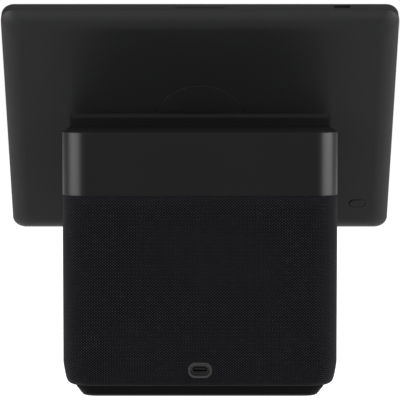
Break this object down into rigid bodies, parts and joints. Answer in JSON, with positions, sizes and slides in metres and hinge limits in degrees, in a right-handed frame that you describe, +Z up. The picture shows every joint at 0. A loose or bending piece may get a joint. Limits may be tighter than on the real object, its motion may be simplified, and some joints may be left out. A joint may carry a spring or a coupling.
{
  "type": "smart display",
  "caption": "Smart display with a tilting touch screen hinged to a fabric-covered speaker base with a rear power inlet.",
  "frame": {"origin": "centre of the foot's underside, on the surface the object stands on", "axes": "+Z up, +X across the object's width, the screen faces -Y and the power inlet +Y"},
  "size_m": [0.251, 0.1697, 0.2404],
  "materials": {
    "base_plastic": "fine satin moulded plastic, near black",
    "screen_plastic": "fine matt moulded plastic, dark charcoal",
    "inner_plastic": "plain moulded plastic",
    "fabric": "tight two-tone woven speaker cloth, black with a blue tinge",
    "rubber": "matt black rubber",
    "steel": "plated steel",
    "aluminium": "bare aluminium",
    "ferrite": "dark grey ferrite",
    "cone_paper": "pressed paper cone",
    "dome_silk": "coated silk dome",
    "circuit_board": "solder-masked board",
    "cover_glass": "polished black-printed cover glass",
    "display_panel": "dark glossy panel"
  },
  "bodies": {
    "base": {"base_plinth": "base_plastic", "top_cap": "base_plastic", "hinge_plate": "base_plastic", "hinge_neck": "base_plastic", "port_bezel": "base_plastic", "grille_shell": "inner_plastic", "speaker_cabinet": "inner_plastic", "cabinet_lid": "inner_plastic", "tweeter_left": "inner_plastic", "tweeter_right": "inner_plastic", "radiator_frame_left": "inner_plastic", "radiator_frame_right": "inner_plastic", "fabric_sleeve": "fabric", "rubber_foot": "rubber", "woofer_surround": "rubber", "radiator_surround_left": "rubber", "radiator_surround_right": "rubber", "display_cable": "rubber", "hinge_shaft": "steel", "friction_washer_left": "steel", "friction_washer_right": "steel", "hinge_nut_left": "steel", "hinge_nut_right": "steel", "plate_screw_left": "steel", "plate_screw_right": "steel", "plinth_screw_1": "steel", "plinth_screw_2": "steel", "plinth_screw_3": "steel", "plinth_screw_4": "steel", "woofer_basket": "steel", "inlet_receptacle": "steel", "heat_sink": "aluminium", "woofer_magnet": "ferrite", "tweeter_dome_left": "dome_silk", "tweeter_dome_right": "dome_silk", "amplifier_board": "circuit_board", "power_board": "circuit_board"},
    "screen": {"rear_shell": "screen_plastic", "screen_frame": "screen_plastic", "cover_glass": "cover_glass", "display_panel": "display_panel", "back_plate": "aluminium", "main_board": "circuit_board", "shield_can": "steel", "hinge_disc": "screen_plastic", "hinge_bracket_left": "steel", "hinge_bracket_right": "steel", "bracket_screw_left": "steel", "bracket_screw_right": "steel", "camera_module": "inner_plastic", "camera_lens": "cover_glass", "microphone_board": "circuit_board", "volume_board": "circuit_board", "button_board": "circuit_board"},
    "rocker": {"volume_rocker": "screen_plastic"},
    "slider": {"shutter_slider": "screen_plastic"},
    "button": {"rear_button": "screen_plastic"},
    "cone": {"woofer_cone": "cone_paper"},
    "diaphragm_left": {"radiator_diaphragm_left": "aluminium"},
    "diaphragm_right": {"radiator_diaphragm_right": "aluminium"}
  },
  "joints": [
    {"name": "screen_tilt", "type": "hinge", "parent": "base", "child": "screen", "pos_m": [0, -0.05155, 0.1665], "axis": [1, 0, 0], "range_deg": [-20, 10]},
    {"name": "volume_rock", "type": "hinge", "parent": "screen", "child": "rocker", "pos_m": [0, -0.01053, 0.23506], "axis": [0, 0.8257, -0.5641], "range_deg": [-1.5, 1.5], "stiffness_Nm_per_rad": 1},
    {"name": "shutter_slide", "type": "slide", "parent": "screen", "child": "slider", "axis": [1, 0, 0], "range_m": [0, 0.01]},
    {"name": "button_press", "type": "slide", "parent": "screen", "child": "button", "axis": [0, -0.8257, 0.5641], "range_m": [0, 0.0008], "stiffness_N_per_m": 2500},
    {"name": "cone_travel", "type": "slide", "parent": "base", "child": "cone", "axis": [0, -1, 0], "range_m": [-0.002, 0.002], "stiffness_N_per_m": 1500},
    {"name": "diaphragm_left_travel", "type": "slide", "parent": "base", "child": "diaphragm_left", "axis": [-1, 0, 0], "range_m": [-0.002, 0.002], "stiffness_N_per_m": 900},
    {"name": "diaphragm_right_travel", "type": "slide", "parent": "base", "child": "diaphragm_right", "axis": [1, 0, 0], "range_m": [-0.002, 0.002], "stiffness_N_per_m": 900}
  ]
}
